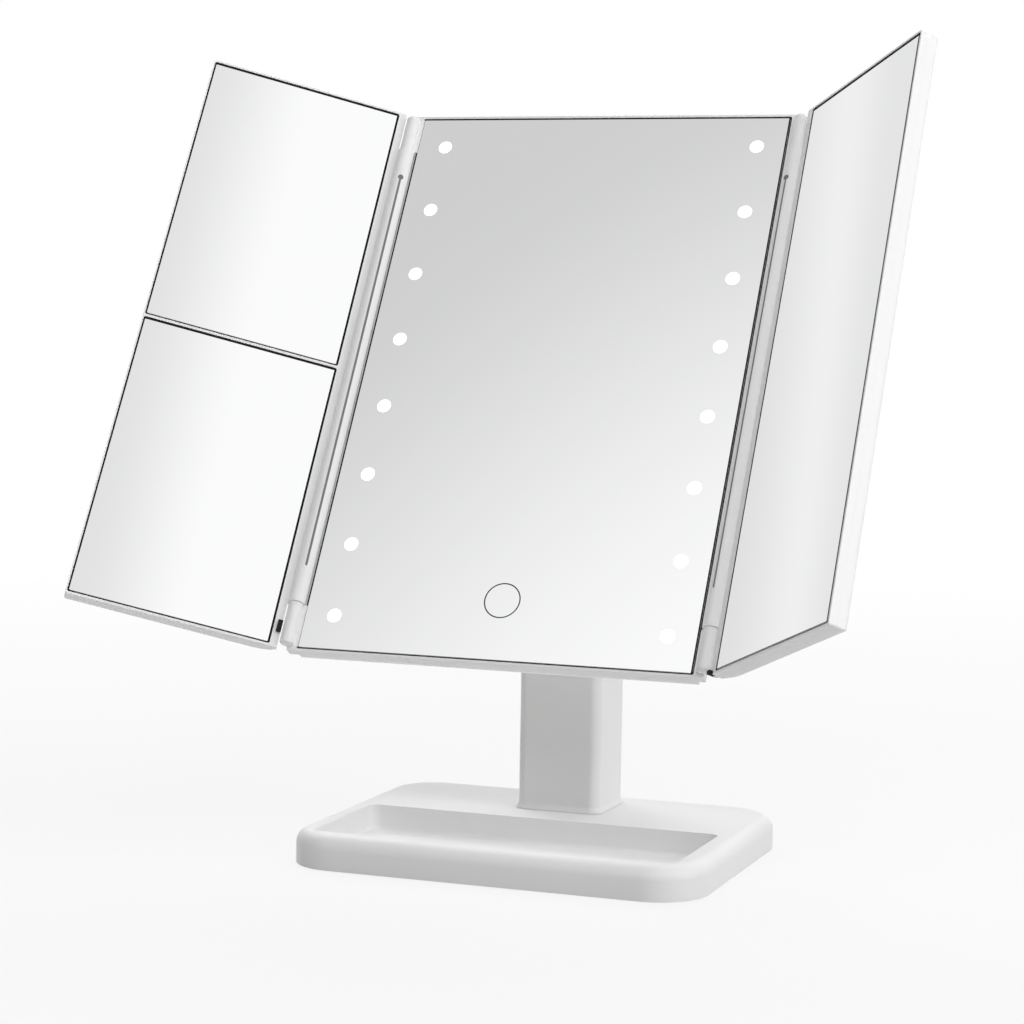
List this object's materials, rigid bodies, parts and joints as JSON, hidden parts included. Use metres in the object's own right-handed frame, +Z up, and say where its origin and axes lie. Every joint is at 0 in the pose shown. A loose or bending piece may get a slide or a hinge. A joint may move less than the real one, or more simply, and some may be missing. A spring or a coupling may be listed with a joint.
{
  "type": "folding makeup mirror",
  "caption": "Tri-fold makeup mirror with lights down both sides of the centre mirror, two folding wings, a tilting head on a square post and a low base with a tray.",
  "frame": {"origin": "centre of the base on the surface it stands on", "axes": "+Z up, +X to the user's right, the user on the -Y side; stored in the pose of the picture"},
  "size_m": [0.3068, 0.1793, 0.321],
  "materials": {
    "white_plastic": "satin white moulding",
    "white_frame": "satin white moulding",
    "mirror_silver": "silvered glass",
    "frosted_window": "frosted glass, lit from behind",
    "black_print": "printed line",
    "black_gasket": "moulded gasket",
    "black_rubber": "matt rubber",
    "grey_rubber": "matt rubber",
    "grey_plastic": "matt moulding",
    "dark_plastic": "matt moulding",
    "steel_weight": "plain steel plate",
    "screw_steel": "zinc-plated steel",
    "circuit_board": "solder mask",
    "led_chip": "white light-emitting chip",
    "copper_pad": "copper foil",
    "cell_wrap": "aluminium laminate",
    "wire_cover": "insulated wire",
    "sleeve_plastic": "acetal"
  },
  "bodies": {
    "stand": {"base_shell": "white_plastic", "base_bottom_plate": "grey_plastic", "base_weight": "steel_weight", "base_foot_ring": "grey_rubber", "base_screws": "screw_steel", "post": "white_plastic", "post_screws": "screw_steel", "tilt_axle": "screw_steel", "tilt_nut": "screw_steel", "tilt_washers": "dark_plastic", "axle_caps": "white_plastic"},
    "head": {"centre_frame": "white_frame", "centre_mirror": "mirror_silver", "led_windows": "frosted_window", "touch_ring": "black_print", "centre_mirror_gasket": "black_gasket", "led_boards": "circuit_board", "leds": "led_chip", "main_board": "circuit_board", "board_screws": "screw_steel", "usb_socket": "screw_steel", "switch_body": "dark_plastic", "battery_cell": "cell_wrap", "touch_pad": "copper_pad", "wires": "wire_cover", "centre_back": "white_frame", "centre_back_screws": "screw_steel", "tilt_bracket": "white_frame", "bracket_screws": "screw_steel", "hinge_pins": "screw_steel"},
    "power_switch": {"power_switch": "grey_plastic"},
    "left_wing": {"left_wing_frame": "white_frame", "left_upper_mirror": "mirror_silver", "left_lower_mirror": "mirror_silver", "left_mirror_gaskets": "black_gasket", "left_wing_back": "white_frame", "left_wing_screws": "screw_steel", "left_wing_bumper": "black_rubber", "left_hinge_sleeves": "sleeve_plastic"},
    "right_wing": {"right_wing_frame": "white_frame", "right_mirror": "mirror_silver", "right_mirror_gasket": "black_gasket", "right_wing_back": "white_frame", "right_wing_screws": "screw_steel", "right_wing_bumper": "black_rubber", "right_hinge_sleeves": "sleeve_plastic"}
  },
  "joints": [
    {"name": "head_tilt", "type": "hinge", "parent": "stand", "child": "head", "pos_m": [0, 0.0368, 0.1835], "axis": [-1, 0, 0], "range_deg": [-30.28, 149.72]},
    {"name": "left_wing_fold", "type": "hinge", "parent": "head", "child": "left_wing", "pos_m": [-0.083, 0.00147, 0.18884], "axis": [0, 0.5042, 0.8636], "range_deg": [-29.9, 150.1]},
    {"name": "right_wing_fold", "type": "hinge", "parent": "head", "child": "right_wing", "pos_m": [0.083, 0.00147, 0.18884], "axis": [0, -0.5042, -0.8636], "range_deg": [-44.4, 135.6]},
    {"name": "power_switch_slide", "type": "slide", "parent": "head", "child": "power_switch", "axis": [1, 0, 0], "range_m": [0, 0.003]}
  ]
}
